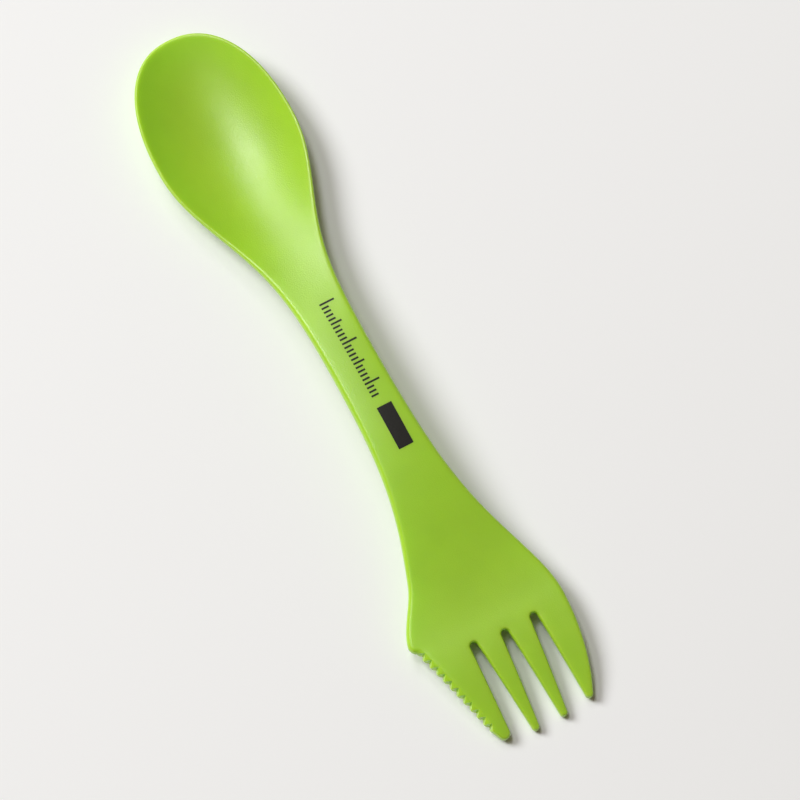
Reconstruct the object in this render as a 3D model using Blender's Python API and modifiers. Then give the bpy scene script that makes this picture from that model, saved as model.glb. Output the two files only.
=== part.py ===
"""A camping spork: spoon bowl, arched handle and four-tined fork with a saw edge, moulded in one piece.

It is made the way its mould sees it. A flat blank is cut to the plan outline, its edges are rounded,
the knife bevel and the tooth grooves are cut, and then the blank is pressed to its heights.
Lengths are in metres, +Y points to the spoon, +Z up, and the saw edge is on the -X side.
"""

from math import acos, atan2, ceil, cos, exp, hypot, pi, sin, sqrt

import bmesh
import bpy
from mathutils import Matrix

MM = 0.001

# Overall
LENGTH = 170 * MM
HANDLE_WIDTH = 10.8 * MM
BOWL_WIDTH = 32.5 * MM
FORK_WIDTH = 32.9 * MM  # twice the reach of the plain side, at its widest
BLANK_THICKNESS = 2.2 * MM
EDGE_ROUND = 0.8 * MM

# Plan of the spoon: a rounded nose, then a bell curve down to the handle
BOWL_NOSE = 26 * MM  # from the spoon's tip to its widest place
NOSE_FULLNESS = 2.23  # 2 is an ellipse, more is squarer
BOWL_FLARE = 24.7 * MM
BOWL_FLARE_POWER = 2.13

# Plan of the fork: a bell curve out from the handle, then one long arc in to the outer tine
FORK_WIDEST = 24.1 * MM  # from the fork's end to its widest place
FORK_FLARE = 24.2 * MM
FORK_FLARE_POWER = 1.74
FORK_SIDE_RADIUS = 58.5 * MM
FORK_SIDE_RUN = 19.5 * MM  # how far the side arc goes towards the outer tine's tip

# The saw side stands out in a shoulder, which ends in a rounded corner
SHOULDER_OUT = 2.6 * MM
SHOULDER_START = 39.6 * MM  # from the fork's end
SHOULDER_RUN = 11.7 * MM
CORNER_HEIGHT = 27.8 * MM  # the corner's centre, from the fork's end
CORNER_RADIUS = 2.15 * MM
CORNER_SWEEP = pi / 3  # how far the corner turns before the saw edge leaves it
SAW_END_OUT = 11.7 * MM  # where the saw edge's line stops, from the middle
SAW_END_HEIGHT = 5 * MM  # and from the fork's end

# Tines and the slots between them, from the saw side to the plain side
TIP_PITCH = 6.7 * MM
TIP_SHIFT = 0.88 * MM
TIP_RADII = (1.35 * MM, 0.85 * MM, 0.87 * MM, 0.9 * MM)
TIP_SETBACKS = (1.45 * MM, 0.15 * MM, 0, 0.9 * MM)  # how far each tip stops short of the fork's end
SLOT_PITCH = 7.15 * MM
SLOT_SHIFT = 1.04 * MM
SLOT_ROOT_RADIUS = 0.87 * MM
SLOT_ROOT_HEIGHTS = (21.7 * MM, 21 * MM, 21.3 * MM)  # the root circles' centres, from the fork's end

# Saw edge
GROOVE_COUNT = 11
GROOVE_PITCH = 2.04 * MM
FIRST_GROOVE = 1.05 * MM  # along the edge, from the end of the corner
GROOVE_DEPTH_TOP = 1.55 * MM
GROOVE_DEPTH_BOTTOM = 0.7 * MM
BEVEL_WIDTH = 1.85 * MM
BEVEL_DROP = 0.8 * MM

# Heights of the top face along the middle
HANDLE_RISE = 11.2 * MM
CREST_AT = 88 * MM  # from the spoon's tip
SPOON_SKEW = 1.3  # 1 is an even wave, more steepens the arch towards its foot
FORK_SKEW = 1.3
NOSE_RISE = 6.0 * MM
PALM_RISE = 5.2 * MM
PALM_AT = 24.8 * MM  # the level place above the slots, from the fork's end
TINE_BEND = 15 * MM  # how far from the palm the tines have all but straightened
REST_FLAT = 0.12 * MM  # how deep the belly and the tines' tips are pressed flat where they rest

# Wall of the finished moulding
BOWL_WALL = 1.7 * MM
HANDLE_WALL = 2.6 * MM
PALM_WALL = 2.15 * MM
TINE_WALL = 2.0 * MM

# Radius of the top face across its width, hollow or crowned
BOWL_HOLLOW = 24 * MM
HOLLOW_END = 43 * MM  # from the spoon's tip, where the hollow starts to open out
NECK_HOLLOW = 60 * MM
NECK_AT = 60 * MM  # from the spoon's tip
HANDLE_CROWN = 55 * MM
TINE_HOLLOW = 250 * MM

# Fineness of the faceted model
SIDE_STEP = 2.4 * MM
NOSE_STEPS = 26
ARC_STEP = pi / 8
EDGE_SEGMENTS = 3
CROSS_CUT_STEP = 2.9 * MM
LONG_CUTS = (1.6 * MM, 4.8 * MM, 7.9 * MM, 11.1 * MM, 14.2 * MM)  # from the middle, both ways
SNAP = 0.06 * MM
SLOPE_PROBE = 0.05 * MM
CUT_BEYOND = 1 * MM  # how far a cutter runs past what it cuts

# Looks
LIME = (0.30, 0.53, 0.045, 1)
SATIN = 0.42  # roughness
CREASE = pi / 5  # faces that meet at more than this keep a sharp edge

SPOON_END = LENGTH / 2
FORK_END = -LENGTH / 2
BOWL_WIDEST_Y = SPOON_END - BOWL_NOSE
FORK_WIDEST_Y = FORK_END + FORK_WIDEST
CREST_Y = SPOON_END - CREST_AT
PALM_Y = FORK_END + PALM_AT
BELLY_TOP = BOWL_WALL - REST_FLAT
TIP_TOP = TINE_WALL - REST_FLAT

WALL = (
    (BOWL_WIDEST_Y, BOWL_WALL),
    (CREST_Y, HANDLE_WALL),
    (PALM_Y, PALM_WALL),
    (FORK_END, TINE_WALL),
)
CURVATURE = (
    (SPOON_END - HOLLOW_END, 1 / BOWL_HOLLOW),
    (SPOON_END - NECK_AT, 1 / NECK_HOLLOW),
    (CREST_Y, -1 / HANDLE_CROWN),
    (PALM_Y, 0),
    (FORK_END, 1 / TINE_HOLLOW),
)


def smooth(stations, at):
    """The value at a place on a curve through (place, value) stations, level at each crest and hollow."""
    stations = sorted(stations)
    if at <= stations[0][0]:
        return stations[0][1]
    if at >= stations[-1][0]:
        return stations[-1][1]
    gaps = [b[0] - a[0] for a, b in zip(stations, stations[1:])]
    rates = [(b[1] - a[1]) / gap for a, b, gap in zip(stations, stations[1:], gaps)]
    slopes = [rates[0]]
    for before, after, gap, next_gap in zip(rates, rates[1:], gaps, gaps[1:]):
        near, far = 2 * next_gap + gap, next_gap + 2 * gap
        level = before * after <= 0
        slopes.append(0 if level else (near + far) / (near / before + far / after))
    slopes.append(rates[-1])
    i = next(i for i in range(len(gaps)) if at <= stations[i + 1][0])
    t = (at - stations[i][0]) / gaps[i]
    rise = (stations[i + 1][1] - stations[i][1]) * t * t * (3 - 2 * t)
    bend = gaps[i] * ((1 - t) * slopes[i] - t * slopes[i + 1])
    return stations[i][1] + rise + t * (1 - t) * bend


def bell(distance, width, power):
    return exp(-((abs(distance) / width) ** power))


def plain_side(y):
    """Half the width at y, from the bowl's widest place through the handle to the fork's widest."""
    handle = HANDLE_WIDTH / 2
    bowl = (BOWL_WIDTH / 2 - handle) * bell(BOWL_WIDEST_Y - y, BOWL_FLARE, BOWL_FLARE_POWER)
    fork = (FORK_WIDTH / 2 - handle) * bell(y - FORK_WIDEST_Y, FORK_FLARE, FORK_FLARE_POWER)
    return handle + bowl + fork


def saw_side(y):
    """The same on the saw side, where the shoulder stands out."""
    t = min(1, max(0, (FORK_END + SHOULDER_START - y) / SHOULDER_RUN))
    return plain_side(y) + SHOULDER_OUT * t * t * (3 - 2 * t)


def steps(start, end, length):
    """Even places from start towards end, without the end itself."""
    count = max(1, ceil(abs(end - start) / length))
    return [start + (end - start) * i / count for i in range(count)]


def nose():
    """The spoon's rounded nose, from its widest place on the plain side round to the saw side."""
    points = []
    for i in range(1, NOSE_STEPS):
        turn = pi * i / NOSE_STEPS
        across = abs(cos(turn)) ** (2 / NOSE_FULLNESS)
        along = sin(turn) ** (2 / NOSE_FULLNESS)
        side = 1 if turn < pi / 2 else -1
        points.append((side * across * plain_side(BOWL_WIDEST_Y), BOWL_WIDEST_Y + along * BOWL_NOSE))
    return points


def tangent(a, b):
    """The ends of the line that runs from circle a to circle b, each (x, y, radius).

    The line leaves a circle of positive radius on its left, and one of negative radius on its right.
    """
    away, apart = atan2(b[1] - a[1], b[0] - a[0]), hypot(b[0] - a[0], b[1] - a[1])
    left = away + acos((b[2] - a[2]) / apart)
    return [(x - r * cos(left), y - r * sin(left)) for x, y, r in (a, b)]


def arc(circle, start, end):
    """Points round a circle from start to end, the way that its sign turns."""
    x, y, r = circle
    first = atan2(start[1] - y, start[0] - x)
    sweep = (atan2(end[1] - y, end[0] - x) - first) % (2 * pi)
    if r < 0:
        sweep -= 2 * pi
    count = max(1, ceil(abs(sweep) / ARC_STEP))
    angles = [first + sweep * i / count for i in range(count + 1)]
    return [(x + abs(r) * cos(a), y + abs(r) * sin(a)) for a in angles]


def corner():
    """The shoulder's rounded corner: (x, y, radius)."""
    y = FORK_END + CORNER_HEIGHT
    return (CORNER_RADIUS - saw_side(y), y, CORNER_RADIUS)


def saw_line():
    """The saw edge: where it leaves the corner, its far end, and its length."""
    x, y, r = corner()
    start = (x - r * cos(CORNER_SWEEP), y - r * sin(CORNER_SWEEP))
    end = (-SAW_END_OUT, FORK_END + SAW_END_HEIGHT)
    return start, end, hypot(end[0] - start[0], end[1] - start[1])


def tine_circles():
    """Tips and slot roots in turn, from the saw side to the plain side."""
    circles = []
    for i, (radius, setback) in enumerate(zip(TIP_RADII, TIP_SETBACKS)):
        x = TIP_SHIFT + (i - (len(TIP_RADII) - 1) / 2) * TIP_PITCH
        circles.append((x, FORK_END + setback + radius, radius))
        if i < len(TIP_RADII) - 1:
            x = SLOT_SHIFT + (i - (len(TIP_RADII) - 2) / 2) * SLOT_PITCH
            circles.append((x, FORK_END + SLOT_ROOT_HEIGHTS[i], -SLOT_ROOT_RADIUS))
    return circles


def fork_side(run):
    """A place on the long arc of the fork's plain side, this far past its widest place."""
    inward = FORK_SIDE_RADIUS - sqrt(FORK_SIDE_RADIUS**2 - run**2)
    return (plain_side(FORK_WIDEST_Y) - inward, FORK_WIDEST_Y - run)


def outline():
    """The plan, anticlockwise from the spoon's nose."""
    points = nose()
    shoulder = corner()
    points += [(-saw_side(y), y) for y in steps(BOWL_WIDEST_Y, shoulder[1], SIDE_STEP)]
    corner_end, saw_end, _ = saw_line()
    points += arc(shoulder, (shoulder[0] - CORNER_RADIUS, shoulder[1]), corner_end)
    side = [fork_side(run) for run in steps(FORK_SIDE_RUN, 0, SIDE_STEP)]
    chain = [(*saw_end, 0), *tine_circles(), (*side[0], 0)]
    joins = [tangent(a, b) for a, b in zip(chain, chain[1:])]
    points.append(saw_end)
    for circle, arriving, leaving in zip(chain[1:], joins, joins[1:]):
        points += arc(circle, arriving[1], leaving[0])
    points += side
    return points + [(plain_side(y), y) for y in steps(FORK_WIDEST_Y, BOWL_WIDEST_Y, SIDE_STEP)]


def spine(y):
    """Height of the top face along the middle, from the nose over the arch to the tines."""
    if y > BOWL_WIDEST_Y:
        return BELLY_TOP + (NOSE_RISE - BELLY_TOP) * ((y - BOWL_WIDEST_Y) / BOWL_NOSE) ** 2
    if y < PALM_Y:
        bend, full = (hypot(TINE_BEND, run) - TINE_BEND for run in (PALM_Y - y, PALM_AT))
        return PALM_RISE + (TIP_TOP - PALM_RISE) * bend / full
    if y > CREST_Y:
        foot, skew, share = BELLY_TOP, SPOON_SKEW, (y - CREST_Y) / (BOWL_WIDEST_Y - CREST_Y)
    else:
        foot, skew, share = PALM_RISE, FORK_SKEW, (CREST_Y - y) / (CREST_Y - PALM_Y)
    return foot + (HANDLE_RISE - foot) * (1 + cos(pi * share**skew)) / 2


def top_height(x, y):
    return spine(y) + smooth(CURVATURE, y) * x * x / 2


def pressed(x, y, z):
    """Where a point of the flat blank goes: its top face to top_height, its wall below that."""
    height = top_height(x, y)
    lean_x = (top_height(x + SLOPE_PROBE, y) - height) / SLOPE_PROBE
    lean_y = (top_height(x, y + SLOPE_PROBE) - height) / SLOPE_PROBE
    wall = smooth(WALL, y) * sqrt(1 + lean_x**2 + lean_y**2)
    return max(0, height + (z / BLANK_THICKNESS - 0.5) * wall)


def new_collection(name, parent):
    made = bpy.data.collections.new(name)
    parent.children.link(made)
    return made


def new_object(name, bm, collection):
    mesh = bpy.data.meshes.new(name)
    bmesh.ops.recalc_face_normals(bm, faces=bm.faces)
    bm.to_mesh(mesh)
    bm.free()
    made = bpy.data.objects.new(name, mesh)
    collection.objects.link(made)
    return made


def new_cutter(name, bm, collection):
    made = new_object(name, bm, collection)
    made.display_type = "WIRE"
    made.hide_render = True
    return made


def along_saw_line(distance, inward):
    """A place in plan, this far along the saw edge and this far in from it, and the edge's direction."""
    start, end, length = saw_line()
    way = ((end[0] - start[0]) / length, (end[1] - start[1]) / length)
    x = start[0] + way[0] * distance - way[1] * inward
    y = start[1] + way[1] * distance + way[0] * inward
    return x, y, atan2(way[1], way[0])


def groove_cutter(index, collection):
    """One tooth groove: a square peg with a corner to the blade, wider at the top than below."""
    bm = bmesh.new()
    low, high = GROOVE_DEPTH_BOTTOM, GROOVE_DEPTH_TOP
    spread = (high - low) / BLANK_THICKNESS * CUT_BEYOND
    bmesh.ops.create_cone(
        bm,
        cap_ends=True,
        segments=4,
        radius1=low - spread + CUT_BEYOND,
        radius2=high + spread + CUT_BEYOND,
        depth=BLANK_THICKNESS + 2 * CUT_BEYOND,
    )
    x, y, way = along_saw_line(FIRST_GROOVE + index * GROOVE_PITCH, -CUT_BEYOND)
    bm.transform(Matrix.Translation((x, y, 0)) @ Matrix.Rotation(way, 4, "Z"))
    return new_cutter(f"groove_{index + 1:02}", bm, collection)


def bevel_cutter(collection):
    """The wedge that thins the blade towards its saw edge, from above."""
    fall = atan2(BEVEL_DROP, BEVEL_WIDTH)
    length = (GROOVE_COUNT - 1) * GROOVE_PITCH
    reach = hypot(BEVEL_DROP, BEVEL_WIDTH) + CUT_BEYOND
    bm = bmesh.new()
    bmesh.ops.create_cube(bm, size=1)
    bm.transform(Matrix.Diagonal((length, reach, BLANK_THICKNESS, 1)))
    bm.transform(Matrix.Translation((0, -reach / 2, BLANK_THICKNESS / 2)))
    bm.transform(Matrix.Rotation(fall, 4, "X"))
    x, y, way = along_saw_line(FIRST_GROOVE + length / 2, BEVEL_WIDTH)
    bm.transform(Matrix.Translation((x, y, BLANK_THICKNESS / 2)) @ Matrix.Rotation(way, 4, "Z"))
    return new_cutter("knife_bevel", bm, collection)


def flat_blank(collection, cutters):
    bm = bmesh.new()
    bm.faces.new([bm.verts.new((x, y, 0)) for x, y in outline()])
    blank = new_cutter("blank", bm, collection)
    solid = blank.modifiers.new("wall", "SOLIDIFY")
    solid.thickness = BLANK_THICKNESS
    solid.offset = 0
    edge = blank.modifiers.new("edge_round", "BEVEL")
    edge.width = EDGE_ROUND
    edge.segments = EDGE_SEGMENTS
    edge.limit_method = "ANGLE"
    edge.angle_limit = pi / 3
    for cutter in cutters:
        cut = blank.modifiers.new(cutter.name, "BOOLEAN")
        cut.operation = "DIFFERENCE"
        cut.solver = "MANIFOLD"
        cut.object = cutter
    return blank


def cut_faces(bm, faces, point, normal):
    """Cuts these faces along a plane, so that they can bend there."""
    edges = {edge for face in faces for edge in face.edges}
    verts = {vert for face in faces for vert in face.verts}
    geom = [*faces, *edges, *verts]
    bmesh.ops.bisect_plane(bm, geom=geom, dist=SNAP, plane_co=point, plane_no=normal)


def press(bm):
    """Divides the flat faces finely enough to bend, and gives every point its height."""
    for y in steps(SPOON_END - CROSS_CUT_STEP / 2, FORK_END, CROSS_CUT_STEP):
        cut_faces(bm, bm.faces[:], (0, y, 0), (0, 1, 0))
    above_slots = FORK_END + max(SLOT_ROOT_HEIGHTS) + 2 * SLOT_ROOT_RADIUS
    cut_faces(bm, bm.faces[:], (0, above_slots, 0), (0, 1, 0))
    for x in (side * cut for cut in LONG_CUTS for side in (-1, 1)):
        whole = [face for face in bm.faces if face.calc_center_median().y > above_slots]
        cut_faces(bm, whole, (x, 0, 0), (1, 0, 0))
    bmesh.ops.triangulate(bm, faces=bm.faces[:])
    for vert in bm.verts:
        vert.co.z = pressed(*vert.co)


def lime_plastic():
    material = bpy.data.materials.new("lime_plastic")
    material.use_nodes = True
    shader = material.node_tree.nodes["Principled BSDF"]
    shader.inputs["Base Color"].default_value = LIME
    shader.inputs["Roughness"].default_value = SATIN
    shader.inputs["Metallic"].default_value = 0
    return material


def make_spork(blank, collection):
    """The blank, pressed, centred on its own box and standing on z = 0."""
    graph = bpy.context.evaluated_depsgraph_get()
    bm = bmesh.new()
    bm.from_mesh(bpy.data.meshes.new_from_object(blank.evaluated_get(graph)))
    press(bm)
    places = [[vert.co[axis] for vert in bm.verts] for axis in range(3)]
    middle = [(min(values) + max(values)) / 2 for values in places[:2]]
    bmesh.ops.translate(bm, verts=bm.verts, vec=(-middle[0], -middle[1], -min(places[2])))
    spork = new_object("spork", bm, collection)
    spork.data.materials.append(lime_plastic())
    spork.data.shade_smooth()
    spork.data.set_sharp_from_angle(angle=CREASE)
    return spork


def main():
    for old in list(bpy.data.objects):
        bpy.data.objects.remove(old)
    scene = bpy.context.scene
    scene.unit_settings.system = "METRIC"
    scene.unit_settings.length_unit = "MILLIMETERS"
    finished = new_collection("camping_spork", scene.collection)
    helpers = new_collection("blank_and_cutters", scene.collection)
    cutters = [bevel_cutter(helpers)]
    cutters += [groove_cutter(i, helpers) for i in range(GROOVE_COUNT)]
    make_spork(flat_blank(helpers, cutters), finished)


main()
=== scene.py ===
"""Camping spork: the looks, laid out as a Blender add-on and run as a script.

The visible moulding is made the way its mould sees it, as the CAD solid is, but finer. A flat blank
with rolled edges is meshed from the plan outline, Geometry Nodes cut the saw teeth, and a second tree
presses the blank to its heights. The printed scale is laid out flat and pressed by the same tree.
Lengths are in metres, +Y points to the spoon, +Z up, and the saw edge is on the -X side.
"""

from math import acos, atan2, ceil, cos, exp, hypot, pi, radians, sin, sqrt

import bmesh
import bpy
from bpy.props import FloatProperty, FloatVectorProperty, IntProperty, PointerProperty
from mathutils import Matrix, Vector
from mathutils.geometry import delaunay_2d_cdt
from mathutils.kdtree import KDTree


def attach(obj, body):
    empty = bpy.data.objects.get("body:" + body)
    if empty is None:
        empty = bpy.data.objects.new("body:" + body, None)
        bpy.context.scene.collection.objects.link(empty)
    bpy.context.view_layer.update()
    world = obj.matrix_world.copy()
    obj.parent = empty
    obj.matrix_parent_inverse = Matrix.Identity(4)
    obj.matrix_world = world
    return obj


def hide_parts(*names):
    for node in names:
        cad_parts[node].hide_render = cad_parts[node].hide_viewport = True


bl_info = {
    "name": "Camping spork",
    "version": (1, 0, 0),
    "blender": (4, 5, 0),
    "location": "View3D > Sidebar > Spork",
    "description": "Makes a moulded camping spork, its printed scale and a pale studio",
    "category": "Object",
}

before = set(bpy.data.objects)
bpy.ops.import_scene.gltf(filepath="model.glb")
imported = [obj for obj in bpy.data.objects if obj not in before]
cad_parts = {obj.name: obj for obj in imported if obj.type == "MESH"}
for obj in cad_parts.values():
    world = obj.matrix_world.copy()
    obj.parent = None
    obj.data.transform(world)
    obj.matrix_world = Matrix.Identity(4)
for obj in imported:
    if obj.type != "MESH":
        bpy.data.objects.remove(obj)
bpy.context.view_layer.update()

MM = 0.001

# Plan of the spoon: a rounded nose, then a bell curve down to the handle
BOWL_NOSE = 26 * MM  # from the spoon's tip to its widest place
NOSE_FULLNESS = 2.23  # 2 is an ellipse, more is squarer
BOWL_FLARE = 24.7 * MM
BOWL_FLARE_POWER = 2.13

# Plan of the fork: a bell curve out from the handle, then one long arc in to the outer tine
FORK_WIDEST = 24.1 * MM  # from the fork's end to its widest place
FORK_FLARE = 24.2 * MM
FORK_FLARE_POWER = 1.74
FORK_SIDE_RADIUS = 58.5 * MM
FORK_SIDE_RUN = 19.5 * MM  # how far the side arc goes towards the outer tine's tip

# The saw side stands out in a shoulder, which ends in a rounded corner
SHOULDER_OUT = 2.6 * MM
SHOULDER_START = 39.6 * MM  # from the fork's end
SHOULDER_RUN = 11.7 * MM
CORNER_HEIGHT = 27.8 * MM  # the corner's centre, from the fork's end
CORNER_RADIUS = 2.15 * MM
CORNER_SWEEP = pi / 3  # how far the corner turns before the saw edge leaves it
SAW_END_OUT = 11.7 * MM  # where the saw edge's line stops, from the middle
SAW_END_HEIGHT = 5 * MM  # and from the fork's end

# Tines and the slots between them, from the saw side to the plain side
TIP_PITCH = 6.7 * MM
TIP_SHIFT = 0.88 * MM
TIP_RADII = (1.35 * MM, 0.85 * MM, 0.87 * MM, 0.9 * MM)
TIP_SETBACKS = (1.45 * MM, 0.15 * MM, 0, 0.9 * MM)  # how far each tip stops short of the fork's end
SLOT_PITCH = 7.15 * MM
SLOT_SHIFT = 1.04 * MM
SLOT_ROOT_RADIUS = 0.87 * MM
SLOT_ROOT_HEIGHTS = (21.7 * MM, 21 * MM, 21.3 * MM)  # the root circles' centres, from the fork's end

# Edges: how far in from the outline the top face starts to fall, and how squarely it does
BLANK_THICKNESS = 2.2 * MM
SIDE_ROLL, SIDE_FULLNESS = 1.1 * MM, 2.6
CORNER_ROLL, CORNER_FULLNESS = 1.2 * MM, 2.6
TINE_ROLL, TINE_FULLNESS = 0.5 * MM, 2.6
SAW_ROLL, SAW_FULLNESS = 1.4 * MM, 1.3  # nearly a flat bevel
UNDER_ROLL, UNDER_FULLNESS = 0.8 * MM, 2.4
ROLL_NARROWS = (25 * MM, 7 * MM)  # from the fork's end, where the side's roll turns into the tine's
ROLL_BLENDS = 4  # passes that ease one edge into the next

# Heights
CREST_AT = 88 * MM  # from the spoon's tip
SPOON_SKEW = 1.3  # 1 is an even wave, more steepens the arch towards its foot
FORK_SKEW = 1.3
NOSE_RISE = 6.0 * MM
PALM_RISE = 5.2 * MM
PALM_AT = 24.8 * MM  # the level place above the slots, from the fork's end
TINE_BEND = 15 * MM  # how far from the palm the tines have all but straightened
REST_FLAT = 0.12 * MM  # how deep the belly and the tines' tips are pressed flat where they rest
HOLLOW_END = 38 * MM  # from the spoon's tip, where the hollow starts to open out
HANDLE_CROWN = 55 * MM
TINE_HOLLOW = 250 * MM
SLOPE_PROBE = 0.2 * MM

# Print on the handle
SCALE_PLACE = (-0.4 * MM, 16.1 * MM)  # the first line's end towards the saw side
BAR_PLACE = (1.1 * MM, -14.6 * MM)  # the bar's middle
INK_SUNK = 0.03 * MM  # how far the ink reaches into the plastic

# Finishes: each pattern's size, and what its noise is turned into
NOISE_SPAN = {"From Min": 0.3, "From Max": 0.7}  # where nearly all of a noise texture's values lie
CLOUD = 9 * MM  # faint clouds of shade in the plastic
CLOUD_SHADES = {"To Min": 0.97, "To Max": 1.03}
GRAIN = 0.22 * MM  # the real grain is about half of this, too fine for the picture to show
GRAIN_DEPTH = 0.035 * MM
GRAIN_ROUGHNESS = {"To Min": 0.28, "To Max": 0.4}
GLOW_REACH = 5 * MM  # how far light travels inside the plastic
INK_PATCH = 0.4 * MM
INK_SHADES = {"To Min": 0.8, "To Max": 1.3}

# Fineness
SIDE_STEP = 0.5 * MM
ARC_STEP = radians(9)
NOSE_STEPS = 150
RINGS = 9
FILL_STEP = 0.8 * MM
INK_ACROSS, INK_ALONG = 9, 25  # corners across a line or the bar, and along the bar, so that ink bends
CUT_BEYOND = 1 * MM  # how far a cutter runs past what it cuts
WELD = 1e-6
CREASE = radians(32)  # faces that meet at more than this keep a sharp edge

# Stage
TABLE_SIZE = 2.4
ROOM_LIGHT = 0.12  # strength of the world as a light
ROOM_COLOUR = "FFDFBE"
BACKDROP = 0.8  # strength of the world as the camera sees it past the table

# Each lamp's name, direction, distance, width and share of full light, and whether gloss shows it
LAMPS = (
    ("key", (-0.48, 0.61, 0.63), 2.8, 1.24, 0.55, False),
    ("over", (-0.2, 0.24, 0.95), 2.8, 1.09, 0.07, True),
    ("back", (-0.16, 0.4, 0.9), 2.8, 0.62, 0.16, True),
    ("far", (0.03, 0.65, 0.76), 2.8, 0.93, 0.1, True),
)

# The camera, from a fit to the spork's outline as the photograph shows it
CAMERA_TOWARD = (-0.1868, -0.1883, 0.9642)
CAMERA_UP = (0.45, 0.856, 0.2543)
CAMERA_AIM = (6.89 * MM, -9.11 * MM, 5 * MM)
CAMERA_AWAY = 900 * MM
PICTURE_WIDTH = 170.63 * MM  # what the picture takes in across the aim

MATH = "ShaderNodeMath"
MAP_RANGE = "ShaderNodeMapRange"
NOISE = "ShaderNodeTexNoise"
COMBINE = "ShaderNodeCombineXYZ"


def linear(hex_colour):
    """An sRGB hex colour as linear red, green and blue."""
    parts = [int(hex_colour[i : i + 2], 16) / 255 for i in (0, 2, 4)]
    return tuple(v / 12.92 if v <= 0.04045 else ((v + 0.055) / 1.055) ** 2.4 for v in parts)


def size(name, millimetres, description):
    """A length that the user can change."""
    return FloatProperty(
        name=name,
        description=description,
        default=millimetres * MM,
        min=0,
        precision=5,
        unit="LENGTH",
    )


def colour(name, hex_colour, description):
    """A colour that the user can change."""
    return FloatVectorProperty(
        name=name, description=description, default=linear(hex_colour), min=0, max=1, subtype="COLOR"
    )


class SporkSizes(bpy.types.PropertyGroup):
    length: size("Length", 170, "From the spoon's tip to the longest tine's tip")
    handle_width: size("Handle width", 10.8, "Across the slimmest part of the handle")
    bowl_width: size("Bowl width", 32.5, "Across the widest part of the bowl")
    fork_width: size("Fork width", 32.9, "Twice the reach of the fork's plain side")
    arch_height: size("Arch height", 11.2, "From the table to the top of the handle")
    bowl_hollow: size("Bowl hollow", 24, "Radius of the bowl across its width")
    bowl_wall: size("Bowl wall", 1.7, "Thickness of the plastic in the bowl")
    handle_wall: size("Handle wall", 2.6, "Thickness of the plastic in the handle")
    palm_wall: size("Palm wall", 2.15, "Thickness of the plastic above the tines")
    tine_wall: size("Tine wall", 2.0, "Thickness of the plastic at the tines' tips")
    groove_pitch: size("Groove pitch", 2.04, "From one groove of the saw edge to the next")
    first_groove: size("First groove", 1.05, "From the shoulder's corner to the first groove")
    groove_above: size("Groove depth above", 1.3, "Depth of a groove at the top face")
    groove_below: size("Groove depth below", 0.7, "Depth of a groove at the underside")
    grooves: IntProperty(name="Grooves", description="Grooves along the saw edge", default=11, min=1)


class ScaleSizes(bpy.types.PropertyGroup):
    ticks: IntProperty(name="Ticks", description="Lines of the printed scale", default=24, min=2)
    pitch: size("Pitch", 1, "From one line to the next")
    stroke: size("Stroke", 0.42, "Width of one line")
    short: size("Short line", 1.7, "Length of a millimetre line")
    middling: size("Middling line", 2.6, "Length of every fifth line")
    long: size("Long line", 3.5, "Length of every tenth line")
    bar_length: size("Bar length", 10, "Length of the solid bar at the scale's end")
    bar_width: size("Bar width", 3.5, "Width of the solid bar")
    ink: size("Ink thickness", 0.02, "How far the ink stands above the plastic")


class SporkColours(bpy.types.PropertyGroup):
    plastic: colour("Plastic", "A4D330", "The pigmented plastic")
    glow: colour("Glow", "E1FF61", "What light that has passed through the plastic takes on")
    ink: colour("Ink", "1A1A17", "The printed scale")
    table: colour("Table", "F2F4F5", "The surface that the spork lies on")


def bell(distance, width, power):
    """1 at no distance, falling to 0 on both sides."""
    return exp(-((abs(distance) / width) ** power))


def ease(value, low, high):
    """0 at low, 1 at high, level at both ends."""
    t = min(1, max(0, (value - low) / (high - low)))
    return t * t * (3 - 2 * t)


def steps(start, end, length):
    """Even places from start towards end, without the end itself."""
    count = max(1, ceil(abs(end - start) / length))
    return [start + (end - start) * i / count for i in range(count)]


def tangent(a, b):
    """The ends of the line that runs from circle a to circle b, each (x, y, radius).

    The line leaves a circle of positive radius on its left, and one of negative radius on its right.
    """
    away, apart = atan2(b[1] - a[1], b[0] - a[0]), hypot(b[0] - a[0], b[1] - a[1])
    left = away + acos((b[2] - a[2]) / apart)
    return [(x - r * cos(left), y - r * sin(left)) for x, y, r in (a, b)]


def arc(circle, start, end):
    """Points round a circle from start to end, the way that its sign turns."""
    x, y, r = circle
    first = atan2(start[1] - y, start[0] - x)
    sweep = (atan2(end[1] - y, end[0] - x) - first) % (2 * pi)
    if r < 0:
        sweep -= 2 * pi
    count = max(1, ceil(abs(sweep) / ARC_STEP))
    angles = [first + sweep * i / count for i in range(count + 1)]
    return [(x + abs(r) * cos(a), y + abs(r) * sin(a)) for a in angles]


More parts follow.
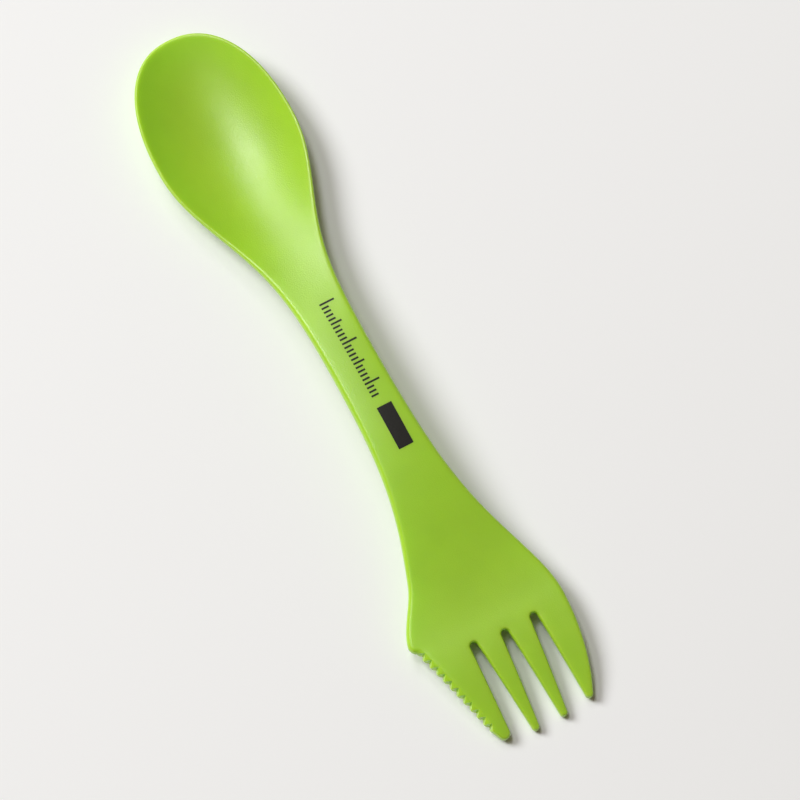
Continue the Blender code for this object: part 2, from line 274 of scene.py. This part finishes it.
class Plan:
    """The spork's outline in plan, from its sizes."""

    def __init__(self, sizes):
        self.sizes = sizes
        self.spoon_end, self.fork_end = sizes.length / 2, -sizes.length / 2
        self.bowl_y = self.spoon_end - BOWL_NOSE
        self.fork_y = self.fork_end + FORK_WIDEST
        y = self.fork_end + CORNER_HEIGHT
        self.corner = (CORNER_RADIUS - self.saw_side(y), y, CORNER_RADIUS)
        self.saw_start = (
            self.corner[0] - CORNER_RADIUS * cos(CORNER_SWEEP),
            y - CORNER_RADIUS * sin(CORNER_SWEEP),
        )
        self.saw_end = (-SAW_END_OUT, self.fork_end + SAW_END_HEIGHT)

    def middle(self):
        """How far the middle of the outline's box lies from the handle's middle line."""
        across = [point[0] for point in self.outline()]
        return (min(across) + max(across)) / 2

    def plain_side(self, y):
        """Half the width at y, from the bowl's widest place through the handle to the fork's widest."""
        handle = self.sizes.handle_width / 2
        bowl = self.sizes.bowl_width / 2 - handle
        fork = self.sizes.fork_width / 2 - handle
        bowl *= bell(self.bowl_y - y, BOWL_FLARE, BOWL_FLARE_POWER)
        fork *= bell(y - self.fork_y, FORK_FLARE, FORK_FLARE_POWER)
        return handle + bowl + fork

    def saw_side(self, y):
        """The same on the saw side, where the shoulder stands out."""
        start = self.fork_end + SHOULDER_START
        return self.plain_side(y) + SHOULDER_OUT * ease(y, start, start - SHOULDER_RUN)

    def nose(self):
        """The spoon's rounded nose, from its widest place on the plain side round to the saw side."""
        points = []
        half = self.plain_side(self.bowl_y)
        for i in range(1, NOSE_STEPS):
            turn = pi * i / NOSE_STEPS
            across = abs(cos(turn)) ** (2 / NOSE_FULLNESS) * (1 if turn < pi / 2 else -1)
            along = sin(turn) ** (2 / NOSE_FULLNESS)
            points.append((across * half, self.bowl_y + along * BOWL_NOSE))
        return points

    def tine_circles(self):
        """Tips and slot roots in turn, from the saw side to the plain side."""
        circles = []
        for i, (radius, setback) in enumerate(zip(TIP_RADII, TIP_SETBACKS)):
            x = TIP_SHIFT + (i - (len(TIP_RADII) - 1) / 2) * TIP_PITCH
            circles.append((x, self.fork_end + setback + radius, radius))
            if i < len(TIP_RADII) - 1:
                x = SLOT_SHIFT + (i - (len(TIP_RADII) - 2) / 2) * SLOT_PITCH
                circles.append((x, self.fork_end + SLOT_ROOT_HEIGHTS[i], -SLOT_ROOT_RADIUS))
        return circles

    def fork_side(self, run):
        """A place on the long arc of the fork's plain side, this far past its widest place."""
        inward = FORK_SIDE_RADIUS - sqrt(FORK_SIDE_RADIUS**2 - run**2)
        return (self.plain_side(self.fork_y) - inward, self.fork_y - run)

    def outline(self):
        """The plan anticlockwise from the spoon's nose, as (x, y, zone)."""
        left = [(-self.saw_side(y), y) for y in steps(self.bowl_y, self.corner[1], SIDE_STEP)]
        corner = arc(self.corner, (self.corner[0] - CORNER_RADIUS, self.corner[1]), self.saw_start)
        side = [self.fork_side(run) for run in steps(FORK_SIDE_RUN, 0, SIDE_STEP)]
        chain = [(*self.saw_end, 0), *self.tine_circles(), (*side[0], 0)]
        joins = [tangent(a, b) for a, b in zip(chain, chain[1:])]
        tines = []
        for circle, arriving, leaving in zip(chain[1:], joins, joins[1:]):
            tines += arc(circle, arriving[1], leaving[0])
        side += [(self.plain_side(y), y) for y in steps(self.fork_y, self.bowl_y, SIDE_STEP)]
        points = [(*point, "side") for point in self.nose() + left]
        points += [(*point, "corner") for point in corner] + [(*self.saw_end, "saw")]
        points += [(*point, "tine") for point in tines]
        return points + [(*point, "side") for point in side]


def resampled(points):
    """The same closed outline with no segment longer than SIDE_STEP; a segment takes its end's zone."""
    made = []
    for (x, y, _), (next_x, next_y, zone) in zip(points, points[1:] + points[:1]):
        for t in steps(0, 1, SIDE_STEP / max(SIDE_STEP, hypot(next_x - x, next_y - y))):
            made.append((x + (next_x - x) * t, y + (next_y - y) * t, zone))
    return made


def edge_rolls(points, fork_end):
    """How far in each outline point's roll reaches and how square it is, eased along the outline."""
    rolls = []
    for _, y, zone in points:
        share = ease(y - fork_end, ROLL_NARROWS[1], ROLL_NARROWS[0])
        side = TINE_ROLL + (SIDE_ROLL - TINE_ROLL) * share
        rolls.append(
            {
                "side": (side, SIDE_FULLNESS),
                "corner": (CORNER_ROLL, CORNER_FULLNESS),
                "saw": (SAW_ROLL, SAW_FULLNESS),
                "tine": (TINE_ROLL, TINE_FULLNESS),
            }[zone]
        )
    for _ in range(ROLL_BLENDS):
        around = zip(rolls[-1:] + rolls[:-1], rolls, rolls[1:] + rolls[:1])
        rolls = [tuple(sum(values) / 3 for values in zip(*three)) for three in around]
    return rolls


def fill(ring):
    """Points and triangles over the inside of a ring, with inner points on an even lattice."""
    near = KDTree(len(ring))
    for i, (x, y) in enumerate(ring):
        near.insert((x, y, 0), i)
    near.balance()
    xs, ys = zip(*ring)
    inner = []
    for row, y in enumerate(steps(min(ys), max(ys), FILL_STEP * sin(pi / 3))):
        for x in steps(min(xs) + row % 2 * FILL_STEP / 2, max(xs), FILL_STEP):
            if near.find((x, y, 0))[2] > FILL_STEP / 2:
                inner.append((x, y))
    loop = [list(range(len(ring)))]
    found = delaunay_2d_cdt([Vector(p) for p in [*ring, *inner]], [], loop, 1, WELD / 10)
    return found[0], found[2]


def flat_blank(plan):
    """The outline as a flat closed solid with rolled edges, its middle plane at z = 0."""
    points = resampled(plan.outline())
    rolls = edge_rolls(points, plan.fork_end)
    bm = bmesh.new()
    inner_rings = []
    first = [bm.verts.new((x, y, 0)) for x, y, _ in points]
    for side in (1, -1):
        last = first
        for ring in range(1, RINGS + 1):
            turn = pi / 2 * ring / RINGS
            flat = []
            for i, (x, y, _) in enumerate(points):
                roll, fullness = rolls[i] if side > 0 else (UNDER_ROLL, UNDER_FULLNESS)
                after, before = points[(i + 1) % len(points)], points[i - 1]
                way = hypot(after[0] - before[0], after[1] - before[1])
                out = ((after[1] - before[1]) / way, (before[0] - after[0]) / way)
                inward = roll * (1 - abs(cos(turn)) ** (2 / fullness))
                height = side * BLANK_THICKNESS / 2 * sin(turn) ** (2 / fullness)
                flat.append((x - out[0] * inward, y - out[1] * inward, height))
            verts = [bm.verts.new(place) for place in flat]
            for i in range(len(verts)):
                bm.faces.new((last[i - 1], last[i], verts[i], verts[i - 1]))
            last = verts
        inner_rings.append([place[:2] for place in flat])
    for ring, height in zip(inner_rings, (BLANK_THICKNESS / 2, -BLANK_THICKNESS / 2)):
        places, triangles = fill(ring)
        verts = [bm.verts.new((*place, height)) for place in places]
        for triangle in triangles:
            bm.faces.new([verts[i] for i in triangle])
    bmesh.ops.remove_doubles(bm, verts=bm.verts, dist=WELD)
    bmesh.ops.recalc_face_normals(bm, faces=bm.faces)
    mesh = bpy.data.meshes.new("blank")
    bm.to_mesh(mesh)
    bm.free()
    return mesh


def feed(tree, node, inputs):
    """Sets a node's inputs. Each is a value, or a node or socket to link from."""
    for key, value in inputs.items() if isinstance(inputs, dict) else enumerate(inputs):
        if isinstance(value, bpy.types.Node):
            value = value.outputs[0]
        if isinstance(value, bpy.types.NodeSocket):
            tree.links.new(value, node.inputs[key])
        else:
            node.inputs[key].default_value = value


def add(tree, kind, inputs=(), **settings):
    """Adds a node with its settings and inputs."""
    made = tree.nodes.new(kind)
    for name, value in settings.items():
        setattr(made, name, value)
    feed(tree, made, inputs)
    return made


def new_tree(name, inputs):
    """A Geometry Nodes tree with a geometry input and output, and these named inputs."""
    tree = bpy.data.node_groups.new(name, "GeometryNodeTree")
    tree.interface.new_socket("Geometry", in_out="OUTPUT", socket_type="NodeSocketGeometry")
    tree.interface.new_socket("Geometry", in_out="INPUT", socket_type="NodeSocketGeometry")
    for label, kind in inputs.items():
        tree.interface.new_socket(label, in_out="INPUT", socket_type="NodeSocket" + kind)
    return tree, tree.nodes.new("NodeGroupInput").outputs


def close_tree(tree, geometry, material):
    """Ends a tree in Realize Instances and Set Material."""
    realized = add(tree, "GeometryNodeRealizeInstances", (geometry,))
    finished = add(tree, "GeometryNodeSetMaterial", {"Geometry": realized, "Material": material})
    add(tree, "NodeGroupOutput", {"Geometry": finished})


def add_modifier(piece, tree, values):
    """Puts a tree on a piece, its inputs set by their sockets' identifiers."""
    modifier = piece.modifiers.new(tree.name, "NODES")
    modifier.node_group = tree
    for item in tree.interface.items_tree:
        if item.in_out == "INPUT" and item.name in values:
            modifier[item.identifier] = values[item.name]


def made_plain(piece):
    """Turns what a piece's modifiers make into its own mesh, and removes them."""
    bpy.context.view_layer.update()
    graph = bpy.context.evaluated_depsgraph_get()
    mesh = bpy.data.meshes.new_from_object(piece.evaluated_get(graph))
    piece.modifiers.clear()
    piece.data = mesh
    finish = mesh.materials[-1]
    mesh.materials.clear()
    mesh.materials.append(finish)
    mesh.polygons.foreach_set("material_index", [0] * len(mesh.polygons))
    mesh.name = piece.name


HEIGHTS = (
    "Nose place",
    "Nose height",
    "Belly place",
    "Belly height",
    "Crest place",
    "Crest height",
    "Palm place",
    "Palm height",
    "Fork end",
    "Tine height",
    "Tine bend",
    "Spoon skew",
    "Fork skew",
    "Hollow place",
    "Bowl curvature",
    "Handle curvature",
    "Tine curvature",
)
WALLS = ("Bowl wall", "Handle wall", "Palm wall", "Tine wall", "Blank thickness")


def height_tree():
    """The height of the top face at a place in plan."""
    tree = bpy.data.node_groups.new("Top face height", "GeometryNodeTree")
    tree.interface.new_socket("Height", in_out="OUTPUT", socket_type="NodeSocketFloat")
    for label in ("Across", "Along", *HEIGHTS):
        tree.interface.new_socket(label, in_out="INPUT", socket_type="NodeSocketFloat")
    given = tree.nodes.new("NodeGroupInput").outputs
    along = given["Along"]

    # From the crest the arch falls as half a wave to the bowl's belly, and to the palm of the fork
    height = given["Crest height"]
    for foot, skew in (("Belly", "Spoon skew"), ("Palm", "Fork skew")):
        ends = {"From Min": given["Crest place"], "From Max": given[foot + " place"]}
        share = add(tree, MAP_RANGE, {"Value": along, **ends})
        skewed = add(tree, MATH, (share, given[skew]), operation="POWER")
        turn = add(tree, MATH, (skewed, pi), operation="MULTIPLY")
        wave = add(tree, MATH, (turn,), operation="COSINE")
        ends = {"From Min": 1, "From Max": -1, "To Min": height, "To Max": given[foot + " height"]}
        height = add(tree, MAP_RANGE, {"Value": wave, **ends})

    # The nose rises as a parabola
    ends = {"From Min": given["Belly place"], "From Max": given["Nose place"]}
    share = add(tree, MAP_RANGE, {"Value": along, **ends})
    square = add(tree, MATH, (share, 2), operation="POWER")
    ends = {"To Min": height, "To Max": given["Nose height"]}
    height = add(tree, MAP_RANGE, {"Value": square, **ends})

    # The tines bend up from the palm, then run out straight
    bend = []
    for end in (along, given["Fork end"]):
        run = add(tree, MATH, (given["Palm place"], end), operation="SUBTRACT")
        run = add(tree, MATH, (run, 0), operation="MAXIMUM")
        corner = add(tree, COMBINE, (given["Tine bend"], run))
        bend.append(add(tree, "ShaderNodeVectorMath", (corner,), operation="LENGTH").outputs["Value"])
    ends = {"From Min": given["Tine bend"], "From Max": bend[1]}
    ends.update({"To Min": height, "To Max": given["Tine height"]})
    height = add(tree, MAP_RANGE, {"Value": bend[0], **ends})

    # Across its width the face is a parabola, hollow in the bowl and crowned on the handle
    curve = given["Handle curvature"]
    for start, end, reached in (
        ("Crest place", "Palm place", 0),
        ("Palm place", "Fork end", given["Tine curvature"]),
        ("Crest place", "Hollow place", given["Bowl curvature"]),
    ):
        ends = {"From Min": given[start], "From Max": given[end], "To Min": curve, "To Max": reached}
        curve = add(tree, MAP_RANGE, {"Value": along, **ends}, interpolation_type="SMOOTHSTEP")
    square = add(tree, MATH, (given["Across"], 2), operation="POWER")
    lift = add(tree, MATH, (square, curve), operation="MULTIPLY")
    height = add(tree, MATH, (lift, 0.5, height), operation="MULTIPLY_ADD")
    add(tree, "NodeGroupOutput", {"Height": height})
    return tree


def press_tree():
    """Bends a flat blank to the spork's heights, its wall measured square to the surface."""
    tree, given = new_tree("Press", {**dict.fromkeys(HEIGHTS + WALLS, "Float"), "Material": "Material"})
    place = add(tree, "ShaderNodeSeparateXYZ", (tree.nodes.new("GeometryNodeInputPosition"),))
    heights = []
    group = height_tree()
    for probe_x, probe_y in ((0, 0), (SLOPE_PROBE, 0), (0, SLOPE_PROBE)):
        across = add(tree, MATH, (place.outputs["X"], probe_x), operation="ADD")
        along = add(tree, MATH, (place.outputs["Y"], probe_y), operation="ADD")
        sizes = {"Across": across, "Along": along, **{label: given[label] for label in HEIGHTS}}
        heights.append(add(tree, "GeometryNodeGroup", sizes, node_tree=group))
    leans = [1]
    for probed in heights[1:]:
        risen = add(tree, MATH, (probed, heights[0]), operation="SUBTRACT")
        leans.append(add(tree, MATH, (risen, SLOPE_PROBE), operation="DIVIDE"))
    leaning = add(tree, COMBINE, leans)
    stretch = add(tree, "ShaderNodeVectorMath", (leaning,), operation="LENGTH").outputs["Value"]
    wall = given["Handle wall"]
    for start, end, reached in (
        ("Crest place", "Belly place", "Bowl wall"),
        ("Crest place", "Palm place", "Palm wall"),
        ("Palm place", "Fork end", "Tine wall"),
    ):
        share = {"Value": place.outputs["Y"], "From Min": given[start], "From Max": given[end]}
        ends = {**share, "To Min": wall, "To Max": given[reached]}
        wall = add(tree, MAP_RANGE, ends, interpolation_type="SMOOTHSTEP")
    wall = add(tree, MATH, (wall, stretch), operation="MULTIPLY")
    depth = add(tree, MATH, (place.outputs["Z"], given["Blank thickness"]), operation="DIVIDE")
    depth = add(tree, MATH, (depth, 0.5), operation="SUBTRACT")
    height = add(tree, MATH, (depth, wall, heights[0]), operation="MULTIPLY_ADD")
    height = add(tree, MATH, (height, 0), operation="MAXIMUM")
    pressed = add(tree, COMBINE, (place.outputs["X"], place.outputs["Y"], height))
    moved = {"Geometry": given["Geometry"], "Position": pressed}
    moved = add(tree, "GeometryNodeSetPosition", moved)
    close_tree(tree, moved, given["Material"])
    return tree


def press_values(plan, material):
    sizes = plan.sizes
    return {
        "Nose place": plan.spoon_end,
        "Nose height": NOSE_RISE,
        "Belly place": plan.bowl_y,
        "Belly height": sizes.bowl_wall - REST_FLAT,
        "Crest place": plan.spoon_end - CREST_AT,
        "Crest height": sizes.arch_height,
        "Palm place": plan.fork_end + PALM_AT,
        "Palm height": PALM_RISE,
        "Fork end": plan.fork_end,
        "Tine height": sizes.tine_wall - REST_FLAT,
        "Tine bend": TINE_BEND,
        "Spoon skew": SPOON_SKEW,
        "Fork skew": FORK_SKEW,
        "Hollow place": plan.spoon_end - HOLLOW_END,
        "Bowl curvature": 1 / sizes.bowl_hollow,
        "Handle curvature": -1 / HANDLE_CROWN,
        "Tine curvature": 1 / TINE_HOLLOW,
        "Bowl wall": sizes.bowl_wall,
        "Handle wall": sizes.handle_wall,
        "Palm wall": sizes.palm_wall,
        "Tine wall": sizes.tine_wall,
        "Blank thickness": BLANK_THICKNESS,
        "Material": material,
    }


def press(piece, plan, material):
    """Presses a flat piece, makes it plain, and centres it on the plan's box."""
    add_modifier(piece, press_tree(), press_values(plan, material))
    made_plain(piece)
    piece.data.transform(Matrix.Translation((-plan.middle(), 0, 0)))


def teeth_tree():
    """Cuts a row of grooves along the saw edge: square pegs, each with a corner to the blade."""
    wanted = {
        "Grooves": "Int",
        "First place": "Vector",
        "Step": "Vector",
        "Turn": "Float",
        "Depth above": "Float",
        "Depth below": "Float",
        "Height": "Float",
        "Material": "Material",
    }
    tree, given = new_tree("Saw teeth", wanted)
    line = {"Count": given["Grooves"], "Start Location": given["First place"], "Offset": given["Step"]}
    row = add(tree, "GeometryNodeMeshLine", line, mode="OFFSET")
    peg = {
        "Vertices": 4,
        "Radius Top": given["Depth above"],
        "Radius Bottom": given["Depth below"],
        "Depth": given["Height"],
    }
    peg = add(tree, "GeometryNodeMeshCone", peg)
    turn = add(tree, COMBINE, (0, 0, given["Turn"]))
    pegs = {"Points": row, "Instance": peg, "Rotation": turn}
    pegs = add(tree, "GeometryNodeInstanceOnPoints", pegs)
    pegs = add(tree, "GeometryNodeRealizeInstances", (pegs,))
    merged = {"Mesh 2": pegs, "Self Intersection": True}
    merged = add(tree, "GeometryNodeMeshBoolean", merged, operation="UNION", solver="EXACT")
    cut = {"Mesh 1": given["Geometry"], "Mesh 2": merged}
    cut = add(tree, "GeometryNodeMeshBoolean", cut, operation="DIFFERENCE", solver="MANIFOLD")
    close_tree(tree, cut, given["Material"])
    return tree


def teeth_values(plan, material):
    sizes = plan.sizes
    start, end = Vector(plan.saw_start), Vector(plan.saw_end)
    way = (end - start).normalized()
    spread = (sizes.groove_above - sizes.groove_below) / BLANK_THICKNESS * CUT_BEYOND
    first = start + way * sizes.first_groove + Vector((way.y, -way.x)) * CUT_BEYOND
    return {
        "Grooves": sizes.grooves,
        "First place": (*first, -BLANK_THICKNESS / 2 - CUT_BEYOND),
        "Step": (*(way * sizes.groove_pitch), 0),
        "Turn": atan2(way.y, way.x),
        "Depth above": sizes.groove_above + spread + CUT_BEYOND,
        "Depth below": sizes.groove_below - spread + CUT_BEYOND,
        "Height": BLANK_THICKNESS + 2 * CUT_BEYOND,
        "Material": material,
    }


def scale_tree():
    """A row of lines, every fifth and tenth of them longer, and a solid bar: flat slips of ink."""
    lines = ("Pitch", "Stroke", "Short line", "Middling line", "Long line")
    lengths = dict.fromkeys((*lines, "Bar length", "Bar width", "Ink"), "Float")
    places = {"Place": "Vector", "Bar place": "Vector"}
    wanted = {"Ticks": "Int", **places, **lengths, "Material": "Material"}
    tree, given = new_tree("Printed scale", wanted)
    back = add(tree, MATH, (given["Pitch"], -1), operation="MULTIPLY")
    step = add(tree, COMBINE, (0, back))
    line = {"Count": given["Ticks"], "Start Location": given["Place"], "Offset": step}
    row = add(tree, "GeometryNodeMeshLine", line, mode="OFFSET")
    index = tree.nodes.new("GeometryNodeInputIndex")
    length = given["Short line"]
    for every, longer in ((5, "Middling line"), (10, "Long line")):
        past = add(tree, MATH, (index, every), operation="MODULO")
        due = add(tree, MATH, (past, 0.5), operation="LESS_THAN")
        choice = {"Switch": due, "False": length, "True": given[longer]}
        length = add(tree, "GeometryNodeSwitch", choice, input_type="FLOAT")
    half = add(tree, MATH, (length, 0.5), operation="MULTIPLY")
    aside = add(tree, COMBINE, (half,))
    row = add(tree, "GeometryNodeSetPosition", {"Geometry": row, "Offset": aside})
    slip = {"Size": add(tree, COMBINE, (1, given["Stroke"], given["Ink"]))}
    slip.update({"Vertices X": INK_ACROSS, "Vertices Y": 2, "Vertices Z": 2})
    slip = add(tree, "GeometryNodeMeshCube", slip)
    ticks = {"Points": row, "Instance": slip, "Scale": add(tree, COMBINE, (length, 1, 1))}
    ticks = add(tree, "GeometryNodeInstanceOnPoints", ticks)
    bar = {"Size": add(tree, COMBINE, (given["Bar width"], given["Bar length"], given["Ink"]))}
    bar.update({"Vertices X": INK_ACROSS, "Vertices Y": INK_ALONG, "Vertices Z": 2})
    bar = add(tree, "GeometryNodeMeshCube", bar)
    bar = add(tree, "GeometryNodeTransform", {"Geometry": bar, "Translation": given["Bar place"]})
    joined = tree.nodes.new("GeometryNodeJoinGeometry")
    for part in (ticks, bar):
        tree.links.new(part.outputs[0], joined.inputs[0])
    close_tree(tree, joined, given["Material"])
    return tree


def new_material(name):
    """A material with its tree, its Object coordinates and its shader."""
    material = bpy.data.materials.new(name)
    material.use_nodes = True
    tree = material.node_tree
    place = tree.nodes.new("ShaderNodeTexCoord").outputs["Object"]
    return material, tree, place, tree.nodes["Principled BSDF"]


def satin_copolyester(colours):
    """Injection-moulded copolyester from a finely spark-eroded mould.

    The eroded steel leaves a satin skin, whose grain breaks up the highlight. Light passes through thin
    plastic, so thin edges glow.
    """
    material, tree, place, shader = new_material("satin_copolyester")
    cloud = add(tree, NOISE, {"Vector": place, "Scale": 1 / CLOUD, "Detail": 2})
    shade = add(tree, MAP_RANGE, {"Value": cloud, **NOISE_SPAN, **CLOUD_SHADES})
    tint = {"Vector": tuple(colours.plastic), "Scale": shade}
    grain = add(tree, NOISE, {"Vector": place, "Scale": 1 / GRAIN, "Detail": 1})
    rough = {"Value": grain, **NOISE_SPAN, **GRAIN_ROUGHNESS}
    bump = {"Strength": 1, "Distance": GRAIN_DEPTH, "Height": grain}
    finish = {
        "Base Color": add(tree, "ShaderNodeVectorMath", tint, operation="SCALE"),
        "Roughness": add(tree, MAP_RANGE, rough),
        "Normal": add(tree, "ShaderNodeBump", bump),
        "IOR": 1.57,
        "Specular IOR Level": 1,
        "Subsurface Weight": 0.5,
        "Subsurface Radius": tuple(colours.glow),
        "Subsurface Scale": GLOW_REACH,
    }
    feed(tree, shader, finish)
    return material


def printed_ink(colours):
    """Pad-printed ink: a matt film, a little uneven where the pad lifted off."""
    material, tree, place, shader = new_material("pad_printed_ink")
    patch = add(tree, NOISE, {"Vector": place, "Scale": 1 / INK_PATCH, "Detail": 2})
    shade = add(tree, MAP_RANGE, {"Value": patch, **NOISE_SPAN, **INK_SHADES})
    tint = {"Vector": tuple(colours.ink), "Scale": shade}
    tint = add(tree, "ShaderNodeVectorMath", tint, operation="SCALE")
    feed(tree, shader, {"Base Color": tint, "Roughness": 0.5, "IOR": 1.5})
    return material


def matt_table(colours):
    """Matt painted board: an even white, with next to no gloss."""
    material, tree, _, shader = new_material("matt_painted_board")
    finish = {"Base Color": (*colours.table, 1), "Roughness": 0.9, "Specular IOR Level": 0.2}
    feed(tree, shader, finish)
    return material


def link_object(name, data):
    made = bpy.data.objects.new(name, data)
    bpy.context.scene.collection.objects.link(made)
    return made


class OBJECT_OT_spork_moulding(bpy.types.Operator):
    """Makes the moulding: the blank, its saw teeth and its heights"""

    bl_idname = "object.spork_moulding"
    bl_label = "Moulding"

    def execute(self, context):
        plan = Plan(context.scene.spork_sizes)
        material = satin_copolyester(context.scene.spork_colours)
        piece = link_object("moulding", flat_blank(plan))
        add_modifier(piece, teeth_tree(), teeth_values(plan, material))
        press(piece, plan, material)
        if not piece.data.polygons:
            raise RuntimeError("the saw teeth cut the whole moulding away")
        piece.data.shade_smooth()
        piece.data.set_sharp_from_angle(angle=CREASE)
        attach(piece, "root")
        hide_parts("spork")
        return {"FINISHED"}


class OBJECT_OT_spork_scale(bpy.types.Operator):
    """Prints the scale on the handle"""

    bl_idname = "object.spork_scale"
    bl_label = "Printed scale"

    def execute(self, context):
        plan, sizes = Plan(context.scene.spork_sizes), context.scene.spork_scale
        material = printed_ink(context.scene.spork_colours)
        level = (BLANK_THICKNESS + sizes.ink - INK_SUNK) / 2
        values = {
            "Ticks": sizes.ticks,
            "Place": (*SCALE_PLACE, level),
            "Bar place": (*BAR_PLACE, level),
            "Pitch": sizes.pitch,
            "Stroke": sizes.stroke,
            "Short line": sizes.short,
            "Middling line": sizes.middling,
            "Long line": sizes.long,
            "Bar length": sizes.bar_length,
            "Bar width": sizes.bar_width,
            "Ink": sizes.ink + INK_SUNK,
            "Material": material,
        }
        piece = link_object("printed_scale", bpy.data.meshes.new("printed_scale"))
        add_modifier(piece, scale_tree(), values)
        press(piece, plan, material)
        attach(piece, "root")
        return {"FINISHED"}


class OBJECT_OT_spork_stage(bpy.types.Operator):
    """Makes the table, the lights and the camera"""

    bl_idname = "object.spork_stage"
    bl_label = "Stage"

    def execute(self, context):
        scene = context.scene
        bm = bmesh.new()
        bmesh.ops.create_grid(bm, size=TABLE_SIZE / 2)
        mesh = bpy.data.meshes.new("table")
        bm.to_mesh(mesh)
        bm.free()
        mesh.materials.append(matt_table(scene.spork_colours))
        link_object("table", mesh)

        for name, toward, distance, width, share, glints in LAMPS:
            toward = Vector(toward).normalized()
            lamp = bpy.data.lights.new(name, "AREA")
            lamp.shape = "DISK"
            lamp.size = width
            # A disk of this power gives the middle of the table this share of full light
            lamp.energy = share * pi**2 * distance**2 / toward.z
            place = link_object(name, lamp)
            place.location = toward * distance
            place.rotation_euler = toward.to_track_quat("Z", "Y").to_euler()
            place.visible_glossy = glints

        # The world lights the object faintly, and shows the camera a pale backdrop past the table
        world = bpy.data.worlds.new("studio")
        world.use_nodes = True
        tree = world.node_tree
        tree.nodes.clear()
        room = add(tree, "ShaderNodeBackground", ((*linear(ROOM_COLOUR), 1), ROOM_LIGHT))
        backdrop = (*scene.spork_colours.table, 1)
        backdrop = add(tree, "ShaderNodeBackground", (backdrop, BACKDROP))
        seen = add(tree, "ShaderNodeLightPath").outputs["Is Camera Ray"]
        mixed = add(tree, "ShaderNodeMixShader", (seen, room, backdrop))
        add(tree, "ShaderNodeOutputWorld", (mixed,))
        scene.world = world

        camera = bpy.data.cameras.new("camera")
        camera.lens = camera.sensor_width * CAMERA_AWAY / PICTURE_WIDTH
        camera.dof.use_dof = False
        place = link_object("camera", camera)
        back, up = Vector(CAMERA_TOWARD).normalized(), Vector(CAMERA_UP)
        right = up.cross(back).normalized()
        place.matrix_world = Matrix((right, back.cross(right), back)).transposed().to_4x4()
        place.location = Vector(CAMERA_AIM) + back * CAMERA_AWAY
        scene.camera = place
        scene.view_settings.view_transform = "Standard"
        return {"FINISHED"}


class VIEW3D_PT_spork(bpy.types.Panel):
    """Lists the spork's operators and sizes"""

    bl_label = "Camping spork"
    bl_idname = "VIEW3D_PT_spork"
    bl_space_type = "VIEW_3D"
    bl_region_type = "UI"
    bl_category = "Spork"

    def draw(self, context):
        for operator in OPERATORS:
            self.layout.operator(operator.bl_idname)
        for name in SETTINGS:
            box = self.layout.box()
            group = getattr(context.scene, name)
            for prop in group.bl_rna.properties:
                if not prop.is_readonly and prop.identifier != "name":
                    box.prop(group, prop.identifier)


OPERATORS = (OBJECT_OT_spork_moulding, OBJECT_OT_spork_scale, OBJECT_OT_spork_stage)
SETTINGS = {"spork_sizes": SporkSizes, "spork_scale": ScaleSizes, "spork_colours": SporkColours}
CLASSES = (*SETTINGS.values(), *OPERATORS, VIEW3D_PT_spork)


def register():
    for cls in CLASSES:
        bpy.utils.register_class(cls)
    for name, cls in SETTINGS.items():
        setattr(bpy.types.Scene, name, PointerProperty(type=cls))


def unregister():
    for name in SETTINGS:
        delattr(bpy.types.Scene, name)
    for cls in reversed(CLASSES):
        bpy.utils.unregister_class(cls)


def main():
    register()
    bpy.ops.object.spork_moulding()
    bpy.ops.object.spork_scale()
    bpy.ops.object.spork_stage()


if __name__ == "__main__":
    main()
